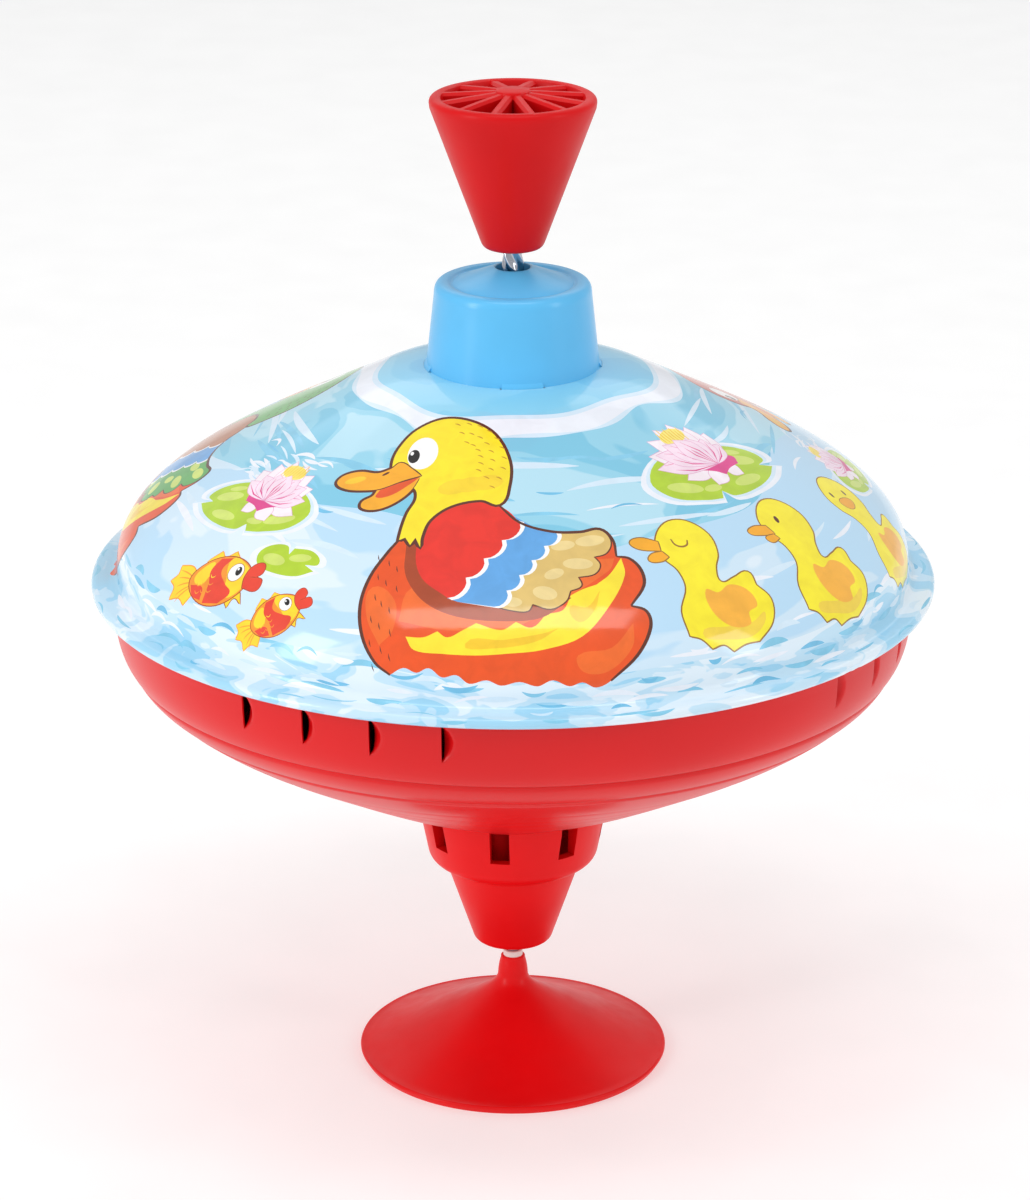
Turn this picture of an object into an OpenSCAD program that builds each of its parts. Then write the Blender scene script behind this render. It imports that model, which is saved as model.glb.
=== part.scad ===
// Humming top on a stand foot. Millimetres, +Z up along the spin axis,
// origin at the centre of the foot's underside, front towards -Y.

/* [Foot] */
// Radius of the foot's rim
foot_r = 35.85; // [34:0.05:37]
// Height of the foot with its post
foot_h = 24; // [23.6:0.1:25]
// Radius at the top of the post
post_r = 2.8; // [2.7:0.05:3]

/* [Hub] */
// Height of the hub's lower end
hub_z = 28.3; // [28:0.1:29]
// Radius at the top of the slotted band
band_r = 21.9; // [21.6:0.05:22]
// Number of air windows round the band
window_n = 8; // [6:1:10]
// Width of an air window
window_w = 4.5; // [4:0.1:5]
// Turn of the first window from the front, towards +X
window_turn = -8.3; // [-20:0.1:20]

/* [Shells] */
// Outer radius of the rolled rim
rim_r = 95; // [94.6:0.1:96]
// Height of the middle of the rolled rim
rim_z = 119.1; // [119:0.05:119.2]
// Height of the flat crown that carries the cap
crown_z = 168; // [167.8:0.1:168.2]
// Sheet thickness of both shells
sheet = 0.45; // [0.4:0.05:0.5]
// Louvres in one group
louvre_n = 4; // [3:1:4]
// Angle between the louvres of a group
louvre_step = 10; // [8:0.5:10]
// Turn of a group's middle from the front, towards +X
louvre_turn = -24.5; // [-30:0.5:-20]

/* [Cap] */
// Outer radius at the foot of the cap
cap_r = 19.3; // [19.1:0.05:19.4]
// Height of the top of the cap's cone
cap_top = 190.3; // [190:0.1:191]
// Turn of the first hook tab from the front, towards +X
tab_turn = 6.3; // [0:0.1:10]

/* [Knob] */
// Radius at the top of the knob
knob_r = 18.37; // [18:0.05:19]
// Height of the knob's lower end when it is pushed right down
knob_z = 194.7; // [194.5:0.1:196]
// Height of the knob's top edge
knob_top = 228.7; // [228.5:0.1:229]
// Number of ribs in the open top of the knob
rib_n = 12; // [8:1:12]

/* [Spindle] */
// Radius over the corners of the twisted bar
spindle_r = 2.5; // [2.45:0.01:2.5]
// Rise of the bar in one whole turn
lead = 24; // [22:1:26]
// Travel of the knob and spindle
travel = 108; // [100:1:108]
// Gap round a piece that slides or turns
running = 0.05; // [0.04:0.01:0.08]

/* [Hidden] */
$fn = 96;

front = -90;            // angle of the front, from +X
bleed = 1;              // how far a cutter runs past the faces that it cuts

pin_r = 1.5;
pin_tip = 16.5;
pin_head_r = 3.2;
pin_head_z = 34;
pin_head_h = 1.1;
bush_z = 15;
bush_r = 2.25;
bush_floor = 16.4;
bush_top = 25.3;
fit = 0.02;             // clearance of a ring pushed on a neck
window_z = 55.4;
window_h = 8.1;

neck_r = 20.45;         // hub neck that passes through the lower shell
neck_top = 67.5;
seat_z = 64;            // underside of the lower shell where the hub meets it
ledge_z = 62.6;
ledge_r = 19.1;
well_r = 3.9;           // sleeve in the hub that takes the spindle's end
well_top = 62;
tube_r = 4.2;
tube_bore = 3.8;
tube_z = 58;
gasket_h = 0.6;
plate_h = 1;
plate_z = ledge_z + gasket_h;
reed_n = 6;
reed_h = 0.3;
reed_w = 2;

bead_r = 1.25;
flange_z = rim_z + bead_r;
wall_r = 89.2;
flange_r = rim_r - bead_r;

flange_gap = 0.03;
louvre_r = 5.6;
louvre_z = 112.5;
louvre_deep = 2;
slit_off = 1.7;         // from the middle of a louvre's ball to its slit
crown_hole = tube_r + 0.05;
slot_angle = 29.4;
tab_angle = 27;

seat_top = 171.5;
tooth_n = 12;
tooth_h = 1.2;
tooth_w = 2.6;
nut_z = seat_top + 2 * tooth_h + 0.3;
nut_top = nut_z + 8;
nut_r = 9.5;
washer_z = 183;
washer_h = 0.8;
boss_r = 8.5;

stop_z = 36.4;
stop_h = 5;
stop_r = tube_bore - running;
tail_r = 2.3;
tail_z = pin_head_z + pin_head_h + 0.3;
twist_z = 64;
twist_top = 196;
slice_deg = 15;
corners = 16;           // points round the bar's outline
bar_dip = 0.6;          // depth of the hollow sides
guide_z = stop_z + stop_h + travel + 0.2;
guide_h = 10;
head_top = 214;

// Points on a cubic curve from a to d
function bez(a, b, c, d, n) = [
    for (i = [0 : n]) let (t = i / n, u = 1 - t)
        u * u * u * a + 3 * u * u * t * b + 3 * u * t * t * c + t * t * t * d
];
// Points on an arc round c, from angle a0 to a1
function arc(c, r, a0, a1, n) = [
    for (i = [0 : n]) let (a = a0 + (a1 - a0) * i / n) c + r * [cos(a), sin(a)]
];
// Direction of the path p at its point i
function heading(p, i) =
    let (d = p[min(i + 1, len(p) - 1)] - p[max(i - 1, 0)]) d / norm(d);
// Outline of a sheet of thickness t that lies to the right of the path p
function skin(p, t) = concat(p, [
    for (i = [len(p) - 1 : -1 : 0]) let (d = heading(p, i)) p[i] + t * [d.y, -d.x]
]);
// Outline of the bar across its axis: four corners with hollow sides
function bar(r, dip) = [
    for (i = [0 : corners - 1]) let (a = i * 360 / corners, q = r - dip * (1 - cos(4 * a)) / 2)
        q * [cos(a), sin(a)]
];

module spin(points) { rotate_extrude() polygon(points); }

module ring(r, bore, z, h) {
    translate([0, 0, z])
        difference() {
            cylinder(r = r, h = h);
            translate([0, 0, -bleed]) cylinder(r = bore, h = h + 2 * bleed);
        }
}

module foot() {
    top = concat(
        [[bush_r, foot_h], [post_r - 0.15, foot_h], [post_r, foot_h - 0.3]],
        bez([post_r, foot_h - 0.4], [3.3, 22], [3.5, 20.5], [3.5, 19.2], 4),
        bez([3.5, 19.2], [3.8, 17.2], [6, 15.6], [12, 12.1], 8),
        bez([12, 12.1], [18, 9.1], [26, 4.6], [foot_r - 0.95, 1.9], 8),
        arc([foot_r - 0.6, 1.4], 0.6, 60, -10, 4));
    under = concat(
        [[foot_r - 0.8, 0], [foot_r - 2.2, 0]],
        bez([foot_r - 2.6, 0.9], [25.5, 3.2], [17.5, 7.6], [11.5, 10.7], 8),
        [[7, 12.6], [0, 12.6], [0, bush_z], [bush_r, bush_z]]);
    color("#d81820") spin(concat(top, under));
}

module foot_bush() {
    color("#f2f0ea")
        difference() {
            spin(concat(
                [[0, bush_z], [bush_r, bush_z], [bush_r, bush_top - 0.5]],
                arc([bush_r - 0.5, bush_top - 0.5], 0.5, 0, 90, 4),
                [[0, bush_top]]));
            translate([0, 0, bush_floor]) cylinder(r = pin_r + running, h = foot_h);
        }
}

module axle_pin() {
    color("#c8c8cc")
        spin(concat(
            [[0, pin_tip]],
            arc([0.7, pin_tip + 0.8], 0.8, -80, 0, 5),
            [[pin_r, pin_head_z], [pin_head_r, pin_head_z]],
            arc([pin_head_r - 0.4, pin_head_z + pin_head_h - 0.4], 0.4, 0, 90, 4),
            [[0, pin_head_z + pin_head_h]]));
}

module hub() {
    outside = concat(
        [[pin_r, hub_z]],
        bez([6.6, hub_z], [8.3, hub_z + 0.1], [9, hub_z + 0.7], [9.3, hub_z + 1.7], 5),
        [[15.3, 47.6], [15.6, 48.3]],
        bez([15.6, 48.4], [17.8, 48.7], [19.3, 49.4], [19.6, 51], 5),
        [[band_r - 0.2, 62], [band_r, seat_z - 0.1], [neck_r, seat_z - 0.1], [neck_r, neck_top - 0.6]],
        [[neck_r - 0.5, neck_top], [ledge_r, neck_top], [ledge_r, ledge_z]]);
    inside = [
        [18.3, ledge_z], [18, 52.2], [14.4, 50], [13.7, 47.9], [7.8, 33.6], [5.4, 33.6],
        [5.4, well_top], [tube_r, well_top], [tube_r, tube_z], [well_r, tube_z],
        [well_r, pin_head_z], [pin_r, pin_head_z]];
    color("#d81820")
        difference() {
            spin(concat(outside, inside));
            for (i = [0 : window_n - 1])
                rotate([0, 0, front + window_turn + i * 360 / window_n])
                    translate([15, -window_w / 2, window_z]) cube([10, window_w, window_h]);
        }
}

module reed_gasket() { color("#5a5048") ring(ledge_r - 0.1, 17.2, ledge_z, gasket_h); }

// Places its children at each reed of the plate
module each_reed() {
    for (i = [0 : reed_n - 1])
        rotate([0, 0, i * 360 / reed_n]) children();
}

module reed_plate() {
    color("#c9a64b")
        difference() {
            ring(ledge_r - 0.1, tube_r + 0.05, plate_z, plate_h);
            each_reed()
                translate([9.4, -reed_w / 2 - 0.15, plate_z - bleed])
                    cube([7.2, reed_w + 0.3, plate_h + 2 * bleed]);
        }
}

module reeds() {
    color("#e0c060")
        each_reed()
            difference() {
                translate([6.4, -reed_w / 2, plate_z + plate_h]) cube([10, reed_w, reed_h]);
                translate([7.6, 0, plate_z]) cylinder(r = 0.5, h = 3 * plate_h);
            }
}

module reed_rivets() {
    color("#b89038")
        each_reed()
            translate([7.6, 0, plate_z + plate_h]) {
                cylinder(r = 0.5, h = reed_h);
                translate([0, 0, reed_h]) cylinder(r = 0.85, h = 0.4);
            }
}

module hub_lock_ring() {
    color("#b4b4ba")
        spin([[neck_r + fit, 64.5], [21.35, 64.5], [21.5, 64.9], [21.5, 66.1], [21.2, 66.4], [neck_r + fit, 66.4]]);
}

// Places its children at each louvre, with the wall along +X
module each_louvre() {
    for (g = [0 : 3], i = [0 : louvre_n - 1])
        rotate([0, 0, front + louvre_turn + g * 90 + (i - (louvre_n - 1) / 2) * louvre_step])
            children();
}

// The ball whose dent is a louvre, of radius r, outside the wall
module louvre_ball(r) {
    translate([wall_r - louvre_deep + louvre_r, -slit_off, louvre_z]) sphere(r = r);
}

// The space on a louvre's side of its slit, out to the radius far
module louvre_side(far) {
    translate([80, 0, louvre_z - 10]) cube([far - 80, 20, 20]);
}

module lower_shell() {
    path = concat(
        [[flange_r + 0.2, flange_z - 2 * sheet - flange_gap]],
        arc([wall_r + 2.6, flange_z - 2 * sheet - flange_gap - 2], 2, 90, 180, 4),
        bez([89.6, 113], [89.5, 108], [88.6, 105], [87, 102.7], 5),
        [[86.3, 102.3], [86, 101.6]],
        bez([86.2, 101.2], [85.3, 99.6], [83.7, 97.9], [81.8, 96.5], 4),
        [[80.9, 96], [80.4, 95.2]],
        bez([80.2, 95.1], [74.5, 90.6], [68, 87], [60, 82.75], 6),
        bez([60, 82.75], [46, 75.2], [38, 70.8], [23.4, 65], 7),
        [[22, 64.3], [21.6, seat_z], [neck_r + 0.1, seat_z]]);
    color("#d81820") {
        difference() {
            spin(skin(path, sheet));
            each_louvre()
                intersection() {
                    louvre_ball(louvre_r);
                    louvre_side(wall_r + bleed);
                }
        }
        each_louvre()
            intersection() {
                difference() {
                    louvre_ball(louvre_r + sheet);
                    louvre_ball(louvre_r);
                }
                louvre_side(wall_r + 0.2);
            }
    }
}

module upper_shell() {
    path = concat(
        [[crown_hole, crown_z]],
        bez([cap_r + 0.8, crown_z], [25, 167.3], [28.6, 166.6], [33, 164.5], 6),
        bez([56, 153], [78, 141.7], [88.6, 134.5], [wall_r, 124], 12),
        arc([wall_r + 2.3, flange_z + 2.3], 2.3, 180, 270, 5),
        arc([flange_r, rim_z], bead_r, 90, -90, 8),
        [[flange_r - 1.1, rim_z - bead_r]]);
    color("#bfe3f6")
        difference() {
            spin(skin(path, sheet));
            for (i = [0 : 3])
                rotate([0, 0, front + tab_turn - slot_angle / 2 + i * 90])
                    rotate_extrude(angle = slot_angle)
                        translate([17.5, crown_z - 2]) square([2.4, 4]);
        }
}

module guide_tube() {
    color("#b8bcc2")
        spin([
            [tube_bore, tube_z], [tube_r, tube_z], [tube_r, crown_z], [7, crown_z],
            [7, crown_z + 0.5], [tube_bore, crown_z + 0.5]
        ]);
}

module spindle_guide() { color("#f2f0ea") ring(tube_bore, spindle_r + running, guide_z, guide_h); }

// Ramped teeth round a face at z, pointing up, or down when dir is -1
module teeth(z, dir) {
    for (i = [0 : tooth_n - 1])
        rotate([0, 0, i * 360 / tooth_n])
            translate([6.2, 0, z])
                rotate([90, 0, 90])
                    linear_extrude(4.6)
                        polygon([
                            [-tooth_w / 2, -0.2 * dir], [tooth_w / 2, -0.2 * dir],
                            [tooth_w / 2, 0], [-tooth_w / 2 * dir, tooth_h * dir], [-tooth_w / 2, 0]
                        ]);
}

module clutch_seat() {
    color("#f2f0ea") {
        spin([
            [13, crown_z], [13, seat_top - 0.5], [12.5, seat_top], [5, seat_top],
            [5, crown_z + 0.5], [7.05, crown_z + 0.5], [7.05, crown_z]]);
        teeth(seat_top, 1);
    }
}

module thrust_washer() { color("#c9a64b") ring(boss_r - 0.1, 3, washer_z, washer_h); }

module cap() {
    outside = concat(
        [[cap_r, crown_z], [17.55, 184]],
        bez([17.5, 184.8], [17.4, 186.3], [16.6, 187.2], [15.2, 187.2], 5),
        [[14.1, 186.9], [13.6, 186.5], [13, 186.8]],
        [[4.4, cap_top], [3.8, cap_top - 0.2]]);
    inside = [
        [3.8, 188.4], [5.6, 187.8], [5.6, washer_z + washer_h], [boss_r, washer_z + washer_h],
        [boss_r, 186.4], [12.6, 185], [15.4, 184.6], [16, 184], [cap_r - 1.55, crown_z]];
    color("#62bdee") {
        spin(concat(outside, inside));
        for (i = [0 : 3])
            rotate([0, 0, front + tab_turn - tab_angle / 2 + i * 90])
                rotate_extrude(angle = tab_angle)
                    polygon([
                        [cap_r - 1.4, crown_z + 1], [cap_r - 0.2, crown_z + 1],
                        [cap_r - 0.2, crown_z - 0.7], [cap_r + 0.7, crown_z - 0.9],
                        [cap_r - 0.3, crown_z - 2.4], [cap_r - 1.4, crown_z - 2.4]
                    ]);
    }
}

module knob() {
    floor_z = 201;
    outside = concat(
        [[tail_r + 0.1, knob_z]],
        bez([5.6, knob_z], [6.6, knob_z + 0.1], [6.9, knob_z + 0.9], [7.25, knob_z + 1.8], 4),
        [[knob_r - 0.07, knob_top - 2.2]],
        bez([knob_r, knob_top - 1.3], [knob_r, knob_top - 0.5], [17.8, knob_top], [17.2, knob_top], 4),
        [[16.7, knob_top], [16.3, knob_top - 0.5]]);
    inside = [
        [15.8, knob_top - 3], [7.4, floor_z], [4.4, floor_z], [3.8, knob_top + 0.5],
        [3.4, knob_top + 0.8], [0, knob_top + 0.8], [0, head_top], [tail_r + 0.1, head_top]];
    color("#d81820") {
        spin(concat(outside, inside));
        for (i = [0 : rib_n - 1])
            rotate([0, 0, (i + 0.5) * 360 / rib_n])
                rotate([90, 0, 0])
                    translate([0, 0, -0.55])
                        linear_extrude(1.1)
                            polygon([
                                [3.4, floor_z - 0.5], [7.6, floor_z - 0.5], [16.4, knob_top - 3],
                                [16.6, knob_top - 0.9], [3.4, knob_top + 0.4]
                            ]);
    }
}

module spindle() {
    rise = twist_top - twist_z;
    turn = 360 * rise / lead;
    color("#c8c8cc") {
        translate([0, 0, tail_z]) cylinder(r = tail_r, h = twist_z - tail_z + 0.1);
        translate([0, 0, twist_z])
            linear_extrude(
                height = rise, twist = turn, slices = ceil(turn / slice_deg), segments = corners)
                polygon(bar(spindle_r, bar_dip));
        translate([0, 0, twist_top - 0.1]) cylinder(r = tail_r + 0.1, h = head_top - twist_top + 0.1);
    }
}

module spindle_stop() {
    color("#f2f0ea")
        spin([
            [tail_r, stop_z], [stop_r - 0.4, stop_z], [stop_r, stop_z + 0.4],
            [stop_r, stop_z + stop_h - 0.4], [stop_r - 0.4, stop_z + stop_h], [tail_r, stop_z + stop_h]
        ]);
}

module drive_nut() {
    bore_turn = 360 * (nut_top - nut_z + 2 * bleed) / lead;
    color("#e8e4da") {
        difference() {
            spin([
                [0, nut_z], [nut_r - 0.5, nut_z], [nut_r, nut_z + 0.5], [nut_r, nut_top - 2],
                [nut_r - 0.6, nut_top - 1.4], [5, nut_top - 1.4], [5, nut_top], [0, nut_top]
            ]);
            rotate([0, 0, -(nut_z - bleed - twist_z) * 360 / lead])
                translate([0, 0, nut_z - bleed])
                    linear_extrude(
                        height = nut_top - nut_z + 2 * bleed, twist = bore_turn,
                        slices = ceil(bore_turn / slice_deg), segments = corners)
                        polygon(bar(spindle_r + 0.12, bar_dip));
        }
        teeth(nut_z, -1);
    }
}

foot();
foot_bush();
axle_pin();
hub();
reed_gasket();
reed_plate();
reeds();
reed_rivets();
hub_lock_ring();
lower_shell();
upper_shell();
guide_tube();
spindle_guide();
clutch_seat();
thrust_washer();
cap();
knob();
spindle();
spindle_stop();
drive_nut();
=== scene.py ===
import math
import random

import bpy
import numpy as np
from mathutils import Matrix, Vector
from mathutils.geometry import delaunay_2d_cdt


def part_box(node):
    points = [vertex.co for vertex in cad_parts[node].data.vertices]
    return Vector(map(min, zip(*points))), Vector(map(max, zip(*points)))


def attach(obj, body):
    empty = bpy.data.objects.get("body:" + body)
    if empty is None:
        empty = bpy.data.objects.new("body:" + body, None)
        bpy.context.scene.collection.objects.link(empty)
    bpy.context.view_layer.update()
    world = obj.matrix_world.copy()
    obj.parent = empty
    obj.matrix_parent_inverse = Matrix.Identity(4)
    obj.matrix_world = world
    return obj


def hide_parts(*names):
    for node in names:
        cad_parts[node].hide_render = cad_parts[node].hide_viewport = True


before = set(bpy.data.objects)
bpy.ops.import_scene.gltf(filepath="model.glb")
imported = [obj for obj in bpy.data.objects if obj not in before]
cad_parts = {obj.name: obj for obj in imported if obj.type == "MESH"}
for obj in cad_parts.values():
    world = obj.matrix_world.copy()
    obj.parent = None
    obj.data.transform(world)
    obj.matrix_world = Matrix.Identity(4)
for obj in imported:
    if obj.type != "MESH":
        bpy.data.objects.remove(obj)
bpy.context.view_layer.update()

# Lengths in this script are millimetres until a mesh is made.
MM = 0.001
FRONT = -90.0  # angle of the front, from +X


def span(node):
    """Outer radius, lowest and highest level of a round CAD node, in millimetres."""
    low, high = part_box(node)
    return high.x / MM, low.z / MM, high.z / MM


RIM_R, BEAD_LOW, CROWN_Z = span("upper_shell")
BEAD_R = 1.25
SHEET = 0.45
RIM_Z = BEAD_LOW + BEAD_R
FLANGE_Z = RIM_Z + BEAD_R
FLANGE_R = RIM_R - BEAD_R
WALL_R = RIM_R - 5.8


# ---------------------------------------------------------------- outlines

def cubic(a, b, c, d, n):
    """Points on a cubic curve from a to d."""
    a, b, c, d = (np.array(p, float) for p in (a, b, c, d))
    out = []
    for i in range(n + 1):
        t = i / n
        u = 1 - t
        out.append(tuple(u**3 * a + 3 * u * u * t * b + 3 * u * t * t * c + t**3 * d))
    return out


def arc(centre, r, start, end, n):
    """Points on an arc, angles in degrees."""
    out = []
    for i in range(n + 1):
        a = math.radians(start + (end - start) * i / n)
        out.append((centre[0] + r * math.cos(a), centre[1] + r * math.sin(a)))
    return out


def line(a, b, step):
    """Points from a to b, both included, about one step apart."""
    n = max(1, round(math.dist(a, b) / step))
    return [(a[0] + (b[0] - a[0]) * i / n, a[1] + (b[1] - a[1]) * i / n) for i in range(n + 1)]


def tidy(points, least=1e-4):
    """The same outline with repeated points left out."""
    out = [points[0]]
    for p in points[1:]:
        if math.dist(p, out[-1]) > least:
            out.append(p)
    return out


def turned(x, y, degrees):
    """The point turned about the origin."""
    c, s = math.cos(math.radians(degrees)), math.sin(math.radians(degrees))
    return x * c - y * s, x * s + y * c


# ---------------------------------------------------------------- meshes

def make_object(name, verts, faces, materials, face_materials=None, sharp=35.0, normals=None):
    """A smooth-shaded object from points in millimetres."""
    mesh = bpy.data.meshes.new(name)
    mesh.from_pydata([Vector(v) * MM for v in verts], [], faces)
    for m in materials:
        mesh.materials.append(m)
    if face_materials is not None:
        mesh.polygons.foreach_set("material_index", face_materials)
    mesh.validate()
    mesh.shade_smooth()
    if normals is not None:
        mesh.normals_split_custom_set_from_vertices([Vector(n) for n in normals])
    else:
        mesh.set_sharp_from_angle(angle=math.radians(sharp))
    obj = bpy.data.objects.new(name, mesh)
    bpy.context.collection.objects.link(obj)
    return obj


def install(obj, body, slot, *nodes):
    """Puts a piece on its body, and in place of CAD nodes."""
    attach(obj, body)
    if nodes:
        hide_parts(*nodes)
    return obj


def lathe_parts(outline, steps):
    """Points and faces of a closed outline of (radius, level) turned about Z. It goes round
    the solid with the outside on its left, and points on the axis become one point."""
    verts, rings, faces = [], [], []
    for r, z in outline:
        if r < 1e-6:
            rings.append([len(verts)] * steps)
            verts.append((0.0, 0.0, z))
            continue
        rings.append(list(range(len(verts), len(verts) + steps)))
        for k in range(steps):
            a = 2 * math.pi * k / steps
            verts.append((r * math.cos(a), r * math.sin(a), z))
    for i, ring in enumerate(rings):
        after = rings[(i + 1) % len(rings)]
        if len(set(ring)) == 1 and len(set(after)) == 1:
            continue
        for k in range(steps):
            m = (k + 1) % steps
            face = []
            for v in (ring[k], ring[m], after[m], after[k]):
                if v not in face:
                    face.append(v)
            faces.append(face)
    return verts, faces


def lathe(name, outline, material, steps=128, sharp=35.0):
    """A solid turned from an outline that runs up the outside and back down the inside."""
    verts, faces = lathe_parts(tidy(outline), steps)
    return make_object(name, verts, faces, [material], sharp=sharp)


def both_sides(verts, faces, normals, marks, inner_mark):
    """Gives an open surface the thickness of the sheet. Each edge is closed by a strip."""
    n = len(verts)
    inner = [tuple(np.array(v) - SHEET * np.array(m)) for v, m in zip(verts, normals)]
    all_faces = [list(f) for f in faces]
    all_marks = list(marks)
    seen = {}
    for f in faces:
        for a, b in zip(f, list(f[1:]) + [f[0]]):
            seen[(a, b)] = True
        all_faces.append([v + n for v in reversed(f)])
        all_marks.append(inner_mark)
    for a, b in list(seen):
        if (b, a) not in seen:
            all_faces.append([b, a, a + n, b + n])
            all_marks.append(inner_mark)
    all_normals = list(normals) + [tuple(-np.array(m)) for m in normals]
    return list(verts) + inner, all_faces, all_normals, all_marks


def cut(obj, cutters):
    """Cuts closed meshes out of obj, and removes them."""
    for c in cutters:
        mod = obj.modifiers.new("cut", "BOOLEAN")
        mod.operation = "DIFFERENCE"
        mod.solver = "EXACT"
        mod.object = c
    bpy.context.view_layer.update()
    graph = bpy.context.evaluated_depsgraph_get()
    mesh = bpy.data.meshes.new_from_object(obj.evaluated_get(graph))
    obj.modifiers.clear()
    obj.data = mesh
    mesh.shade_smooth()
    mesh.set_sharp_from_angle(angle=math.radians(35))
    for c in cutters:
        bpy.data.objects.remove(c)
    return obj


def add_loft(verts, faces, rings):
    """Adds a solid that runs through rings of points, one after another, with closed ends."""
    start, m = len(verts), len(rings[0])
    for ring in rings:
        verts += ring
    for i in range(len(rings) - 1):
        for j in range(m):
            p, q = start + i * m + j, start + i * m + (j + 1) % m
            faces.append((p, p + m, q + m, q))
    faces.append([start + j for j in range(m)])
    faces.append([start + (len(rings) - 1) * m + j for j in reversed(range(m))])


def block(name, centre, size, turn):
    """A closed box of that size, its middle at centre before it is turned about Z."""
    rings = []
    for side in (-0.5, 0.5):
        ring = []
        for across, up in ((-0.5, -0.5), (-0.5, 0.5), (0.5, 0.5), (0.5, -0.5)):
            place = turned(centre[0] + side * size[0], centre[1] + across * size[1], turn)
            ring.append((*place, centre[2] + up * size[2]))
        rings.append(ring)
    verts, faces = [], []
    add_loft(verts, faces, rings)
    return make_object(name, verts, faces, [])


# ---------------------------------------------------------------- materials

def rgb(red, green, blue):
    """An sRGB colour of 0 to 255 as linear numbers."""
    out = []
    for c in (red, green, blue):
        c = c / 255
        out.append(c / 12.92 if c <= 0.04045 else ((c + 0.055) / 1.055) ** 2.4)
    return (*out, 1.0)


def new_material(name):
    mat = bpy.data.materials.new(name)
    mat.use_nodes = True
    tree = mat.node_tree
    return mat, tree, tree.nodes["Principled BSDF"]


def add(tree, kind, **values):
    node = tree.nodes.new(kind)
    for key, value in values.items():
        if key in node.inputs:
            node.inputs[key].default_value = value
        else:
            setattr(node, key, value)
    return node


def noise(tree, scale, detail=3.0, stretch=None, distortion=0.0, roughness=0.5):
    """A noise in the row frame, in repeats per metre. Returns its value socket."""
    place = add(tree, "ShaderNodeTexCoord")
    node = add(tree, "ShaderNodeTexNoise", Scale=scale, Detail=detail, Distortion=distortion,
               Roughness=roughness)
    source = place.outputs["Object"]
    if stretch:
        mapping = add(tree, "ShaderNodeMapping", Scale=stretch)
        tree.links.new(source, mapping.inputs["Vector"])
        source = mapping.outputs["Vector"]
    tree.links.new(source, node.inputs["Vector"])
    return node.outputs["Fac"]


def ramp(tree, value, stops):
    """A colour for each stretch of a value, from (place, colour) stops."""
    node = add(tree, "ShaderNodeValToRGB")
    elements = node.color_ramp.elements
    while len(elements) < len(stops):
        elements.new(0.5)
    for element, (place, colour) in zip(elements, stops):
        element.position = place
        element.color = colour
    tree.links.new(value, node.inputs["Fac"])
    return node.outputs["Color"]


def tone(colour, factor):
    """The colour made darker or lighter."""
    return (*(min(1.0, c * factor) for c in colour[:3]), 1.0)


def to_range(tree, value, low, high, out_low, out_high):
    node = add(tree, "ShaderNodeMapRange")
    for key, number in (("From Min", low), ("From Max", high), ("To Min", out_low), ("To Max", out_high)):
        node.inputs[key].default_value = number
    tree.links.new(value, node.inputs["Value"])
    return node.outputs["Result"]


def paint_base(tree, shader, value, stops):
    """Colours a shader by a value."""
    tree.links.new(ramp(tree, value, stops), shader.inputs["Base Color"])


def mottle(tree, shader, value, colour, dark, light, low=0.3, high=0.7):
    """Varies a shader's colour from a darker to a lighter tone of it."""
    paint_base(tree, shader, value, [(low, tone(colour, dark)), (high, tone(colour, light))])


def bump(tree, shader, value, depth, strength=1.0):
    node = add(tree, "ShaderNodeBump", Strength=strength, Distance=depth)
    tree.links.new(value, node.inputs["Height"])
    tree.links.new(node.outputs["Normal"], shader.inputs["Normal"])


def moulded(name, colour, rough, coat):
    """Moulded plastic: a clouded pigment, a fine skin and faint flow marks."""
    mat, tree, shader = new_material(name)
    mottle(tree, shader, noise(tree, 38, 4), colour, 0.93, 1.05)
    smear = noise(tree, 260, 3, stretch=(1, 1, 0.3))
    tree.links.new(to_range(tree, smear, 0.3, 0.7, rough - 0.04, rough + 0.05), shader.inputs["Roughness"])
    bump(tree, shader, noise(tree, 1400, 2), 0.00002, 0.35)
    shader.inputs["Specular IOR Level"].default_value = 0.16
    shader.inputs["Coat Weight"].default_value = coat
    shader.inputs["Coat Roughness"].default_value = 0.22
    return mat


def metal(name, colour, rough, stretch=(1, 1, 30)):
    """Drawn or turned metal with fine marks along its length."""
    mat, tree, shader = new_material(name)
    marks = noise(tree, 900, 3, stretch=stretch)
    mottle(tree, shader, marks, colour, 0.85, 1.1)
    tree.links.new(to_range(tree, marks, 0.3, 0.7, rough * 0.7, rough * 1.4), shader.inputs["Roughness"])
    bump(tree, shader, marks, 0.00001, 0.3)
    shader.inputs["Metallic"].default_value = 1.0
    return mat


def lacquer(tree, shader, rough=0.42, gloss=0.1, coat=0.8):
    """Clear varnish with a slight ripple, over whatever colour the shader has."""
    bump(tree, shader, noise(tree, 120, 2), 0.00004, 0.25)
    shader.inputs["Roughness"].default_value = rough
    shader.inputs["Specular IOR Level"].default_value = 0.2
    shader.inputs["Coat Weight"].default_value = coat
    shader.inputs["Coat Roughness"].default_value = gloss


def lacquered_tin(name, colour):
    """Sheet metal under one even colour of lacquer."""
    mat, tree, shader = new_material(name)
    mottle(tree, shader, noise(tree, 22, 3), colour, 0.94, 1.04)
    lacquer(tree, shader, 0.4, 0.2, 0.3)
    return mat


INKS = []
INK_INDEX = {}


def keep_ink(name, mat):
    """Inks are called by their names."""
    INK_INDEX[name] = len(INKS)
    INKS.append(mat)


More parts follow.
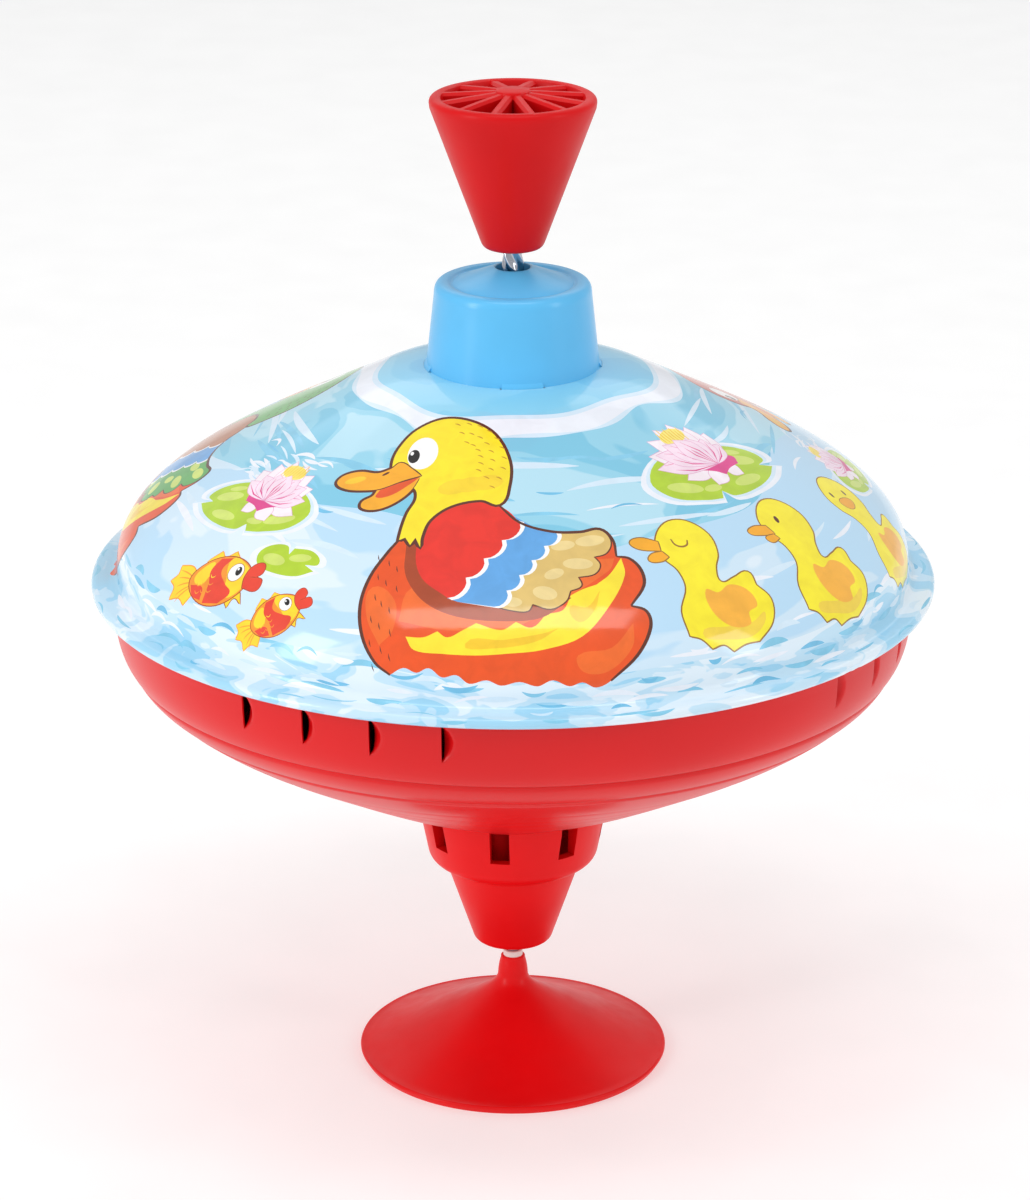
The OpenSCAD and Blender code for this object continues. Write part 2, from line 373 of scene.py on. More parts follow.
def ink(name, *colour, vary=0.06):
    """A printed colour with a watery mottle."""
    mat, tree, shader = new_material("ink_" + name)
    wash = noise(tree, 210, 4, distortion=0.6)
    mottle(tree, shader, wash, rgb(*colour), 1 - vary, 1 + vary, 0.35, 0.65)
    lacquer(tree, shader)
    keep_ink(name, mat)


def water_ink(name, deep, middle, pale, scale, share):
    """Printed water: long patches of three tones lying round the dome."""
    mat, tree, shader = new_material("ink_" + name)
    patches = noise(tree, scale, 2.5, stretch=(1, 1, 3.2), distortion=0.9, roughness=0.45)
    paint_base(tree, shader, patches, [
        (share - 0.10, rgb(*deep)), (share - 0.085, rgb(*middle)),
        (share, rgb(*middle)), (share + 0.02, rgb(*pale))])
    lacquer(tree, shader)
    keep_ink(name, mat)


def felt(name, colour):
    """Pressed felt with a fine nap."""
    mat, tree, shader = new_material(name)
    hair = noise(tree, 1800, 4)
    mottle(tree, shader, hair, colour, 0.7, 1.3)
    bump(tree, shader, hair, 0.0002, 0.6)
    shader.inputs["Roughness"].default_value = 0.95
    return mat


red_plastic = moulded("red_plastic_skin", rgb(232, 10, 16), 0.4, 0.08)
# The knob's plastic is a darker copy of the red plastic: painted shade for the knob's cone, which faces down.
shaded_knob_plastic = moulded("knob_painted_shade_skin", rgb(214, 10, 16), 0.42, 0.04)
blue_plastic = moulded("blue_plastic_skin", rgb(94, 190, 242), 0.4, 0.5)
nylon = moulded("nylon_skin", rgb(238, 232, 228), 0.4, 0.1)
steel = metal("polished_steel", rgb(186, 190, 200), 0.12)
tube_steel = metal("drawn_steel", rgb(180, 182, 188), 0.3)
brass = metal("rolled_brass", rgb(214, 176, 92), 0.28, stretch=(1, 12, 1))
felt_ring = felt("felt_ring", rgb(90, 80, 72))
red_tin = lacquered_tin("red_lacquered_tin", rgb(222, 8, 14))

water_ink("crown_water", (126, 202, 236), (138, 210, 240), (150, 216, 243), 30, 0.56)
water_ink("high_water", (126, 200, 228), (150, 212, 235), (182, 226, 243), 26, 0.55)
water_ink("low_water", (186, 222, 247), (208, 232, 249), (224, 240, 252), 20, 0.6)
water_ink("rim_water", (160, 214, 242), (196, 228, 247), (226, 241, 252), 60, 0.53)
ink("foam", 238, 243, 252, vary=0.03)
ink("pale", 214, 235, 250, vary=0.03)
ink("ripple", 134, 204, 234)
ink("deep_ripple", 112, 190, 228)
ink("outline", 92, 44, 28, vary=0.1)
ink("chick_line", 150, 106, 40, vary=0.1)
ink("white", 250, 250, 250, vary=0.02)
ink("black", 22, 18, 18, vary=0.1)
ink("yellow", 250, 226, 48)
ink("gold", 244, 200, 40)
ink("head", 252, 228, 36)
ink("head_warm", 248, 214, 44)
ink("beak", 246, 172, 34)
ink("mouth", 226, 84, 34)
ink("breast", 232, 82, 22)
ink("flank", 238, 106, 36)
ink("shadow", 168, 66, 26)
ink("shoulder", 230, 46, 32)
ink("wing_blue", 96, 166, 228)
ink("tan", 222, 190, 112)
ink("light_tan", 236, 212, 146)
ink("wing_green", 92, 172, 88)
ink("mallard", 108, 184, 100)
ink("rust", 206, 92, 70)
ink("brown", 190, 120, 78)
ink("dash", 200, 148, 30)
ink("pad", 178, 210, 44)
ink("pad_light", 208, 226, 110)
ink("petal", 249, 224, 240)
ink("petal_light", 252, 240, 248)
ink("petal_edge", 226, 150, 196)
ink("magenta", 224, 62, 142)
ink("stamen", 253, 234, 112)
ink("fish_yellow", 250, 214, 40)
ink("fish_orange", 244, 150, 40)
ink("fish_red", 230, 66, 44)
ink("chick", 252, 234, 40)
ink("chick_shade", 244, 212, 66)
ink("chick_wing", 248, 180, 60)
printed_inside = lacquered_tin("plain_tin_inside", rgb(206, 208, 210))


# ---------------------------------------------------------------- the dome's surface

CROWN_HOLE = 4.25


def dome_outline():
    """The shell's outer face from the hole in the crown to the end of the rolled rim."""
    path = line((CROWN_HOLE, CROWN_Z), (20.1, CROWN_Z), 2.6)
    path += cubic((20.1, CROWN_Z), (25, CROWN_Z - 0.7), (28.6, CROWN_Z - 1.4), (33, CROWN_Z - 3.5), 6)
    path += line((33, CROWN_Z - 3.5), (56, CROWN_Z - 15), 3.2)
    path += cubic((56, CROWN_Z - 15), (78, CROWN_Z - 26.3), (88.6, CROWN_Z - 33.5),
        (WALL_R, CROWN_Z - 44), 24)
    path += arc((WALL_R + 2.3, FLANGE_Z + 2.3), 2.3, 180, 270, 8)
    path += arc((FLANGE_R, RIM_Z), BEAD_R, 90, -90, 14)
    path += [(FLANGE_R - 1.1, RIM_Z - BEAD_R)]
    return tidy(path)


DOME = np.array(dome_outline())
DOME_S = np.concatenate([[0], np.cumsum(np.hypot(*np.diff(DOME, axis=0).T))])
AROUND = 60.0  # millimetres on the flat sheet for one radian round the dome
PRINT_END = DOME_S[-1]


def dome_at(s):
    """Radius, level and outward normal at a distance s down the dome's face."""
    r = np.interp(s, DOME_S, DOME[:, 0])
    z = np.interp(s, DOME_S, DOME[:, 1])
    step = 0.35
    ahead = np.clip(s + step, 0, DOME_S[-1])
    behind = np.clip(s - step, 0, DOME_S[-1])
    dr = np.interp(ahead, DOME_S, DOME[:, 0]) - np.interp(behind, DOME_S, DOME[:, 0])
    dz = np.interp(ahead, DOME_S, DOME[:, 1]) - np.interp(behind, DOME_S, DOME[:, 1])
    size = np.hypot(dr, dz)
    return r, z, -dz / size, dr / size


class Motif:
    """Places drawings on the dome. A drawing's x runs to the right and its y towards the crown,
    from a middle that is turn degrees from the front and s millimetres down the dome's face."""

    def __init__(self, turn, s, tilt=0.0, size=1.0):
        self.turn, self.s, self.tilt, self.size = math.radians(turn), s, tilt, size
        r0 = float(np.interp(s, DOME_S, DOME[:, 0]))
        ahead = float(np.interp(s + 3, DOME_S, DOME[:, 0]))
        behind = float(np.interp(s - 3, DOME_S, DOME[:, 0]))
        slope = max(0.3, (ahead - behind) / 6)
        self.cone, self.spread = r0 / slope, 1 / slope

    def flat(self, points):
        out = []
        for x, y in points:
            x, y = turned(x * self.size, y * self.size, self.tilt)
            angle = math.atan2(x, self.cone - y) * self.spread
            down = math.hypot(x, self.cone - y) - self.cone
            out.append(((self.turn + angle) * AROUND, min(PRINT_END - 0.5, self.s + down)))
        return out


PRINT = []  # (ink, points on the flat sheet), painted in this order


def paint(name, points, motif=None):
    PRINT.append((INK_INDEX[name], motif.flat(points) if motif else points))


def smooth(points, steps=5):
    """A closed curve through points. A point with a third number is a corner."""
    n = len(points)
    out = []
    for i in range(n):
        p0, p1, p2, p3 = (points[(i + k) % n] for k in (-1, 0, 1, 2))
        a = np.array(p1[:2], float)
        b = np.array(p2[:2], float)
        reach = np.linalg.norm(b - a) / 3
        start = b - np.array(p0[:2]) if len(p1) < 3 else b - a
        end = np.array(p3[:2]) - a if len(p2) < 3 else b - a
        start = start / max(1e-6, np.linalg.norm(start)) * reach
        end = end / max(1e-6, np.linalg.norm(end)) * reach
        out += cubic(a, a + start, b - end, b, steps)[:-1]
    return out


def grown(points, width):
    """A closed curve moved outwards by width."""
    area = 0.0
    n = len(points)
    for i in range(n):
        (x0, y0), (x1, y1) = points[i], points[(i + 1) % n]
        area += x0 * y1 - x1 * y0
    side = width if area > 0 else -width
    out = []
    for i in range(n):
        (x0, y0), (x1, y1) = points[i - 1], points[(i + 1) % n]
        dx, dy = x1 - x0, y1 - y0
        size = max(1e-6, math.hypot(dx, dy))
        out.append((points[i][0] + side * dy / size, points[i][1] - side * dx / size))
    return out


def shape(motif, name, points, line_ink=None, width=0.35, steps=5):
    """Paints a smooth closed shape, with an outline behind it if one is asked for."""
    curve = smooth(points, steps)
    if line_ink:
        paint(line_ink, grown(curve, width), motif)
    paint(name, curve, motif)


def oval(motif, name, x, y, rx, ry, tilt=0.0, line_ink=None, width=0.3, n=28):
    curve = []
    for i in range(n):
        a = 2 * math.pi * i / n
        dx, dy = turned(rx * math.cos(a), ry * math.sin(a), tilt)
        curve.append((x + dx, y + dy))
    if line_ink:
        paint(line_ink, grown(curve, width), motif)
    paint(name, curve, motif)


def stroke(motif, name, points, width, ends=0.25):
    """Paints a brush stroke along points, widest in its middle."""
    n = len(points)
    left, right = [], []
    for i, (x, y) in enumerate(points):
        (x0, y0), (x1, y1) = points[max(0, i - 1)], points[min(n - 1, i + 1)]
        dx, dy = x1 - x0, y1 - y0
        size = max(1e-6, math.hypot(dx, dy))
        t = i / (n - 1)
        half = width / 2 * (ends + (1 - ends) * math.sin(math.pi * t) ** 0.7)
        left.append((x - dy / size * half, y + dx / size * half))
        right.append((x + dy / size * half, y - dx / size * half))
    paint(name, left + right[::-1], motif)


def bow(x0, y0, x1, y1, lift, n=6):
    """Points on a shallow bow from one end to the other."""
    dx, dy = x1 - x0, y1 - y0
    out = []
    for i in range(n + 1):
        t = i / n
        h = lift * 4 * t * (1 - t)
        size = math.hypot(dx, dy)
        out.append((x0 + dx * t - dy / size * h, y0 + dy * t + dx / size * h))
    return out


def open_curve(points, steps=5):
    """A smooth open path through points."""
    marked = [(*points[0], 1)] + list(points[1:-1]) + [(*points[-1], 1)]
    return smooth(marked, steps)[:(len(points) - 1) * steps + 1]


def edge(motif, name, points, width):
    """Paints an even line along a smooth open path."""
    stroke(motif, name, open_curve(points), width, ends=0.55)


def ring_band(name, upper, lower, n=240):
    """Paints a band round the whole dome between two levels that change with the angle."""
    top, bottom = [], []
    for i in range(n + 1):
        a = -math.pi + 2 * math.pi * i / n
        top.append((a * AROUND, upper(a)))
        bottom.append((a * AROUND, lower(a)))
    paint(name, top + bottom[::-1])


# ---------------------------------------------------------------- the print

def wave_edge(level, first, second, shift):
    """A level round the dome with a long and a short swell."""
    return lambda a: level + first * math.sin(3 * a + shift) + second * math.sin(7 * a + 2 * shift)


def draw_water():
    """The pond: solid blue at the crown, a foam edge, broken water, calm water and a busy rim."""
    crown_edge = wave_edge(27.5, 1.1, 0.7, 2.6)
    foam_edge = wave_edge(32.5, 1.9, 1.2, 2.2)
    calm_edge = wave_edge(64, 4.5, 2.0, 0.6)
    rim_edge = wave_edge(97, 1.2, 0.8, 1.0)
    ring_band("crown_water", lambda a: 0.0, crown_edge)
    ring_band("high_water", crown_edge, calm_edge)
    ring_band("low_water", calm_edge, rim_edge)
    ring_band("rim_water", rim_edge, lambda a: PRINT_END)
    ring_band("pale", lambda a: crown_edge(a) - 0.9, lambda a: crown_edge(a) + 0.4)
    ring_band("foam", lambda a: crown_edge(a) + 0.4, foam_edge)
    ring_band("pale", foam_edge, lambda a: foam_edge(a) + 0.8 + 0.5 * math.sin(11 * a))
    draw = random.Random(7)
    zones = (
        ("ripple", 40, 38, 62, 10, 24, 0.9, 1.8), ("pale", 34, 38, 66, 12, 26, 0.9, 2.2),
        ("foam", 9, 48, 72, 9, 18, 0.5, 1.0), ("deep_ripple", 16, 50, 70, 4, 8, 0.6, 1.0),
        ("pale", 26, 72, 94, 10, 20, 0.8, 1.8), ("foam", 24, 72, 96, 10, 22, 0.8, 1.8),
        ("ripple", 60, 94, 104, 5, 12, 0.8, 1.7), ("foam", 70, 93, 105, 4, 11, 0.7, 1.5),
        ("deep_ripple", 40, 96, 106, 3, 8, 0.6, 1.3), ("pale", 60, 94, 110, 4, 10, 0.7, 1.4),
        ("ripple", 40, 105, 110, 5, 12, 0.5, 1.0),
    )
    for name, count, low, high, short, long, thin, thick in zones:
        for i in range(count):
            turn = -178 + 356 * (i + draw.random() * 0.8) / count
            motif = Motif(turn, draw.uniform(low, high), draw.uniform(-5, 5))
            half = draw.uniform(short, long) / 2
            reach = half / max(20, float(np.interp(motif.s, DOME_S, DOME[:, 0]))) * 57.3
            if abs(turn) + reach * 1.3 > 179:
                continue
            width = draw.uniform(thin, thick)
            lift = draw.uniform(-1.2, 1.4)
            stroke(motif, name, bow(-half, 0, half, 0, lift, 10), width, ends=0.08)


def scallops(x0, y0, x1, y1, count, depth, side=1):
    """Points of a row of round lobes from one end to the other."""
    out = []
    dx, dy = (x1 - x0) / count, (y1 - y0) / count
    size = math.hypot(dx, dy)
    for k in range(count):
        for i in range(6):
            t = i / 6
            h = side * depth * math.sin(math.pi * t) ** 0.6 if i else 0.0
            out.append((x0 + dx * (k + t) - dy / size * h, y0 + dy * (k + t) + dx / size * h))
    out.append((x1, y1))
    return out


def draw_duck(turn, s, head, feathers, band, patch, tilt=0.0, size=1.0):
    """A swimming duck: breast and tail, a striped flank, a folded wing and a round head."""
    m = Motif(turn, s, tilt, size)
    breast = [(-20.6, -28.4), (-23.8, -25.4), (-26.3, -19.6), (-26.9, -12.3), (-25.2, -5.2), (-21.8, 1.3),
              (-19.2, 5.6), (-18.4, 9.4)]
    back = [(0.6, 14.2), (5.7, 9.0), (12.4, 7.1), (18.4, 7.8), (22.6, 9.4), (25.4, 6.8), (26.4, 2.2)]
    tail_top = [(26.4, 2.2), (29.2, 2.2), (31.8, -0.4), (32.6, -4.4), (30.2, -10.2)]
    tail_end = [(30.2, -10.2), (33.6, -10.8), (34.8, -14.4), (32.8, -21), (28, -27.4)]
    hem = [(25, -29.4), (21.8, -28.8), (19, -30), (15.2, -29.2), (12, -30.8), (8, -30.2), (4, -31.2),
        (0.8, -30.2),
           (-3, -31), (-5.8, -29.2), (-9, -29.6), (-11.8, -27.6), (-14.6, -28.4), (-17.4, -27.2)]
    shape(m, "breast", [(*breast[0], 1)] + breast[1:] + [(-8, 16)] + back[:-1] + [(*back[-1], 1)]
          + tail_top[1:-1] + [(*tail_top[-1], 1)] + tail_end[1:] + hem)
    shape(m, "flank", [(-16, -9), (-18.4, -17, 1), (-8, -19.6), (6, -18.6), (15, -12), (25, -2), (26, 1.6, 1),
                       (20, 0), (8, -4), (-4, -8)])
    shape(m, "flank", [(-24.4, -8), (-25.4, -15), (-22.6, -22, 1), (-19.6, -19), (-19.4, -12)])
    shape(m, "yellow", [
        (-16.8, -20.6, 1), (-15, -23.6), (-9, -24.7), (-1.7, -25.1), (5, -24.5), (12.5, -23.1), (20.5, -19.2),
        (25.7, -11), (28.4, -2.6), (27.4, 2, 1), (25.2, -3), (22.6, -6.2, 1), (19.6, -8), (17.4, -9.8, 1),
        (16, -13.6),
        (12.6, -15, 1), (9.8, -18.4), (6.4, -17.4, 1), (3.4, -19.4), (-1.9, -18, 1), (-4.6, -19.6),
        (-7.8, -21.2),
        (-10, -19.8, 1), (-13, -21)])
    shape(m, "gold", [(-4, -22.6), (4, -21.6), (12, -19.6), (15.4, -18, 1), (11, -21.4), (3, -23.4)])
    shape(m, "gold", [(17.4, -12.6), (21, -12.2), (23.4, -7.6, 1), (22.6, -12.6), (19.6, -16)])
    shape(m, "flank", [(20, -23.4), (27, -20.6), (31, -14.2, 1), (31.4, -19.6), (27, -25.6), (21.6, -26.6)])
    shape(m, "shadow", [
        (-16.2, 6), (-18, -1), (-17, -7), (-12.8, -13), (-6.4, -16.4), (2.6, -17.4), (11.6, -16),
        (17.6, -10.4, 1),
        (12, -9), (0, 0)])
    tips = [(13.7, 6.6, 1), (18.4, 7.4), (22.5, 9), (24.9, 6.4), (24.2, 2.8), (21.6, 1.2, 1), (23, -0.8),
        (22, -3.4),
            (18.6, -4.8, 1), (19.4, -7), (17.2, -8.6, 1), (16.4, -11.4), (13.4, -13.6), (9.6, -12.8, 1),
            (8.6, -14.6),
            (5.2, -14.6), (1.8, -13.8, 1), (0, -4)]
    shape(m, feathers, tips, "outline", 0.32)
    light = "light_tan" if feathers == "tan" else "pad_light"
    for x, y, rx, ry, tilt in ((20.6, 5.6, 3.2, 1.5, 20), (18.4, -1.2, 3.2, 1.5, 8),
        (13.6, -4.6, 2.2, 1.3, 30),
                               (12, -9.8, 2.6, 1.7, -8), (5.4, -12.6, 2, 1.2, 0), (15, 3.4, 2.6, 1.3, 20)):
        oval(m, light, x, y, rx, ry, tilt)
    for reach, name in ((0.9, "white"), (0.0, band)):
        lobes = scallops(1.6 + reach, -14 - 0.3 * reach, 13.4 + reach, 7 + 0.3 * reach, 5, -1.3)
        paint(name, [(-8.3, -11.9), (-6, -12.9)] + lobes + [(9.4, 7.6), (4, 11)], m)
    for reach, name in ((0.9, "white"), (0.0, patch)):
        lobes = scallops(-8.2 + reach, -11.9 - 0.6 * reach, 5.6 + reach, 9 + 0.3 * reach, 4, -1.5)
        paint(name, lobes + open_curve([(5.6, 9), (2.6, 12.6), (-2.4, 15), (-9.6, 13.4), (-14.2, 8.4),
            (-15.8, 0.6),
                                        (-14, -6.6), (-8.2, -11.9)])[1:-1], m)
    for route in (breast, back, tail_top, tail_end):
        edge(m, "outline", route, 0.78)
    draw_duck_head(m, head)
    for i in range(16):
        x, y = -23.8 + 2.1 * (i % 3) + 0.3 * (i % 2), 0.6 - 1.75 * i
        if y < -10:
            x -= 1.0
        stroke(m, "outline", [(x, y), (x + 0.1, y - 0.9), (x + 0.35, y - 1.7)], 0.26)


def draw_duck_head(m, head):
    """The neck, a round head, an open beak and a round eye."""
    face = [
        (-19.7, 4.4, 1), (-19.2, 8.6), (-18.4, 12.4), (-17, 16.2), (-17.6, 19.4), (-22.6, 24.6), (-23.4, 29),
        (-22.2, 33.6), (-19, 38.2), (-13.4, 40.7), (-7.2, 39.4), (-1.4, 35), (2.2, 27), (2.5, 19.6),
        (1, 14.2),
        (-3, 15.4), (-9.4, 13.7), (-13.6, 9.8), (-15, 5), (-15, 2, 1), (-16.2, 4.8, 1), (-17.2, 2.8, 1),
        (-18.4, 5, 1)]
    upper = [(-21.6, 28.2), (-23.6, 26.6), (-26.6, 25.8), (-30.6, 27.2), (-34.4, 26.8), (-35.6, 24.6),
        (-33, 22),
             (-29, 20.8), (-25.4, 20.6), (-20.4, 22.4), (-16.6, 23.4, 1), (-18.8, 25.8)]
    lower = [(-26, 20.4, 1), (-26.8, 18.6), (-29, 17.2), (-28.8, 15.2), (-25.6, 14.2), (-21.8, 15.6),
        (-18.6, 18.8),
             (-16.8, 23, 1)]
    for part in (lower, face, upper):
        paint("outline", grown(smooth(part), 0.72), m)
    paint(head, smooth(face), m)
    for i in range(3):
        oval(m, "head_warm" if head == "head" else head, -9 + 3.4 * i, 19.4 + 0.6 * i, 3.6, 2.2, 14)
    shape(m, "beak", lower, "outline", 0.2)
    shape(m, "beak", upper, "outline", 0.3)
    shape(m, "mouth", [(-25.4, 20.2, 1), (-26, 18), (-22.6, 18.2), (-18.4, 21.4), (-17, 22.9, 1),
        (-21, 21.8)])
    oval(m, "gold", -31.4, 24.6, 2.4, 1.0, 4)
    oval(m, "outline", -24.6, 25.2, 0.9, 0.34, 30, n=12)
    oval(m, "white", -16.9, 30.4, 3.4, 5.0)
    oval(m, "black", -18.8, 29.7, 1.3, 2.1)
    oval(m, "white", -19.3, 30.7, 0.4, 0.6, n=10)
    dots = "dash" if head == "head" else "outline"
    for row in range(3):
        for i in range(10 - 2 * row):
            a = math.radians(-38 + i * (15 + 2.2 * row) + 8 * row)
            x, y = -8.6 + (9.8 - 2.5 * row) * math.cos(a), 26.6 + (12 - 2.8 * row) * math.sin(a)
            stroke(m, dots, bow(x - 0.7, y + 0.4, x + 0.6, y - 0.35, 0.15, 4), 0.34)


def draw_lily(turn, s, tilt=0.0, size=1.0, flip=1, lean=0.0, sway=0.0):
    """A notched lily pad, and a flower whose petals fan out from one point. lean moves the flower
    along the pad, and sway its petals."""
    m = Motif(turn, s, tilt, size)
    root = (3.6 + lean, 1.4)

    def at(points):
        return [(flip * p[0], *p[1:]) for p in points]

    def petal(name, reach, rise, width):
        reach += sway if rise > 0 else 0
        along = np.array((reach, rise))
        across = np.array((-rise, reach)) / math.hypot(reach, rise) * width / 2
        start = np.array(root)
        shape(m, name, at([(*root, 1), tuple(start + 0.3 * along + 0.7 * across),
            tuple(start + 0.66 * along + across),
                           (*(start + along), 1), tuple(start + 0.66 * along - across),
                           tuple(start + 0.3 * along - 0.7 * across)]), "petal_edge", 0.14, steps=5)

    for grow, name in ((1.17, "foam"), (1.07, "pale"), (1.0, "pad")):
        shape(m, name, at([
            (-16.6 * grow, 1), (-14.6 * grow, -5.4 * grow), (-7, -8.6 * grow), (-2.4, -9.2 * grow, 1),
            (-1, -7, 1),
            (1.6, -9.2 * grow), (10 * grow, -8 * grow), (17 * grow, -5 * grow), (21.4 * grow, -1.4, 1),
            (17.4, -0.6, 1),
            (20.6 * grow, 1.6), (17 * grow, 5.4 * grow), (8, 7.4 * grow), (-8, 7 * grow)]))
    for x, y, rx, ry, angle in ((-9.6, -3.6, 4.6, 1.7, -20), (9.4, -5, 4.8, 1.5, 10),
        (12.6, 1.6, 4.6, 1.7, -6),
                                (-2.6, -5.6, 2.6, 1.1, 0), (12, 4.6, 3, 0.9, -8)):
        oval(m, "pad_light", flip * x, y, rx, ry, flip * angle)
    for reach, rise in ((-16.6, 6.6), (-13.6, 11), (4.6, 10.6), (-9.4, 14), (0.4, 13.4), (-4.4, 15)):
        petal("petal_light", reach, rise, 6.4)
    centre = root[0] - 5.6 + 0.8 * sway
    oval(m, "stamen", flip * centre, 12.4, 4.2, 2.4, flip * 14)
    for i in range(8):
        x = centre - 3.6 + 1.0 * i
        tip = 15.2 if i % 2 else 14.2
        stroke(m, "gold", [(flip * (x + 0.6), 10.6), (flip * x, 12.6),
            (flip * (x - 0.3), tip)], 0.42, ends=0.6)
    petal("petal_light", -12.4, -3.0, 4.6)
    petal("petal_light", -5.4, -6.4, 5.0)
    petal("petal_light", 4.6, -4.4, 4.2)
    shape(m, "magenta", at([
        (root[0] - 7, 0.4, 1), (root[0] - 3, -0.8), (root[0] - 0.6, -2.4, 1), (root[0] + 2, -0.6),
        (root[0] + 6, 0.6, 1), (root[0] + 6.4, 3.2), (root[0] + 2, 3.6), (root[0] - 3, 3)]))
    for reach, rise, width in ((-17.4, 2.2, 5.0), (5.4, 6.4, 4.6), (-14.6, 6.4, 5.6), (1.8, 8.8, 5.2),
                               (-10.6, 8.8, 6.0), (-2.6, 9.6, 5.8), (-6.6, 9.8, 6.2)):
        petal("petal", reach, rise, width)
        reach += sway
        for side, far in ((-0.22, 0.86), (0.0, 0.6), (0.2, 0.74)):
            bend = (-rise * side * 0.5, reach * side * 0.5)
            stroke(m, "magenta", at([
                root, (root[0] + reach * 0.45 + bend[0], root[1] + rise * 0.45 + bend[1]),
                (root[0] + reach * far + bend[0] * 0.5, root[1] + rise * far + bend[1] * 0.5)]),
                0.42, ends=0.15)


def draw_pad(turn, s, tilt=0.0, size=1.0):
    """A small lily pad without a flower."""
    m = Motif(turn, s, tilt, size)
    for grow, name in ((1.22, "foam"), (1.0, "pad")):
        shape(m, name, [
            (-9 * grow, 0.4), (-7 * grow, -3 * grow), (-1, -4.4 * grow), (5, -4 * grow),
            (8.8 * grow, -1.6, 1),
            (5.6, -0.4, 1), (9 * grow, 0.8), (5.4, 3.8 * grow), (0, 3.6 * grow, 1), (-0.4, 1.6, 1),
            (-2.4, 4 * grow), (-7, 3.2 * grow)])
    oval(m, "pad_light", -3.6, -0.6, 3.4, 1.6, -8)
    oval(m, "pad_light", 3.2, 1.2, 3, 1.2, 12)


def draw_fish(turn, s, tilt=0.0, size=1.0):
    """A plump little fish with a fan tail, red patches and thick lips, facing right."""
    m = Motif(turn, s, tilt, size)
    shape(m, "fish_yellow", [
        (-6.4, 1, 1), (-9.4, 4.4), (-13.6, 5.2, 1), (-13.8, 2.8), (-16, 1.4, 1), (-14.2, -0.6),
        (-15.4, -3.4, 1),
        (-11.6, -3.6), (-9.6, -5.6, 1), (-7, -3)], "fish_orange", 0.3)
    for lift in (3.4, 1.6, -0.4, -2.4, -3.8):
        stroke(m, "fish_orange", bow(-13.2, lift * 1.15, -7.6, lift * 0.3, 0.3, 5), 0.34)
    shape(m, "fish_yellow", [(-5, 5), (-2, 8.6, 1), (-0.2, 6.8), (2.6, 8.4, 1),
        (4.4, 5)], "fish_orange", 0.25)
    shape(m, "fish_yellow", [(3.6, -3.4), (5.6, -7.4, 1), (7.2, -5), (9.6, -6.6, 1),
        (7.6, -2.6)], "shadow", 0.25)
    shape(m, "fish_orange", [(-9, 0.6), (-5.6, 5), (0.6, 6.9), (6.4, 5.4), (9.8, 1.4), (8, -3.6), (2, -6.6),
        (-5, -5)],
          "shadow", 0.28)
    shape(m, "fish_yellow", [(2.2, 6.2), (7, 4.6), (9.6, 1), (7.6, -3.4), (4, -4.6), (3, 0)])
    shape(m, "fish_yellow", [(-7.6, 1), (-5.4, 4.2), (-2.6, 5.2), (-3, 1), (-5, -1)])
    shape(m, "fish_red", [(-1.2, 6.4, 1), (2.4, 6.4, 1), (0.4, 2.8), (3, -1), (5.4, -3.6), (2.4, -6.2, 1),
                          (-2.8, -5.8, 1), (-2.2, -1), (-3, 3)])
    shape(m, "fish_red", [(-8.2, -0.6, 1), (-4, -1.6), (-3.8, -5, 1), (-6.8, -3.6)])
    for i in range(3):
        for k in range(3):
            stroke(m, "fish_orange" if k else "fish_yellow",
                   bow(-6.2 + 1.9 * i, 1.8 - 2 * k, -4.6 + 1.9 * i, 1.4 - 2 * k, -0.7, 5), 0.3)
    oval(m, "white", 5.0, 2.2, 2.2, 2.5, line_ink="shadow", width=0.16)
    oval(m, "black", 5.7, 2.5, 0.9, 1.3, n=16)
    oval(m, "white", 5.4, 3.1, 0.3, 0.4, n=8)
    shape(m, "fish_red", [(8.6, -2.2, 1), (8.2, 0.8), (9.4, 4), (12.2, 4.8), (13, 2.2), (11.6, 0.8, 1),
        (13.6, -0.2),
                          (12.8, -3)], "shadow", 0.24)
    stroke(m, "shadow", [(9.8, 0.8), (10.8, 0.8), (11.8, 0.6)], 0.26)


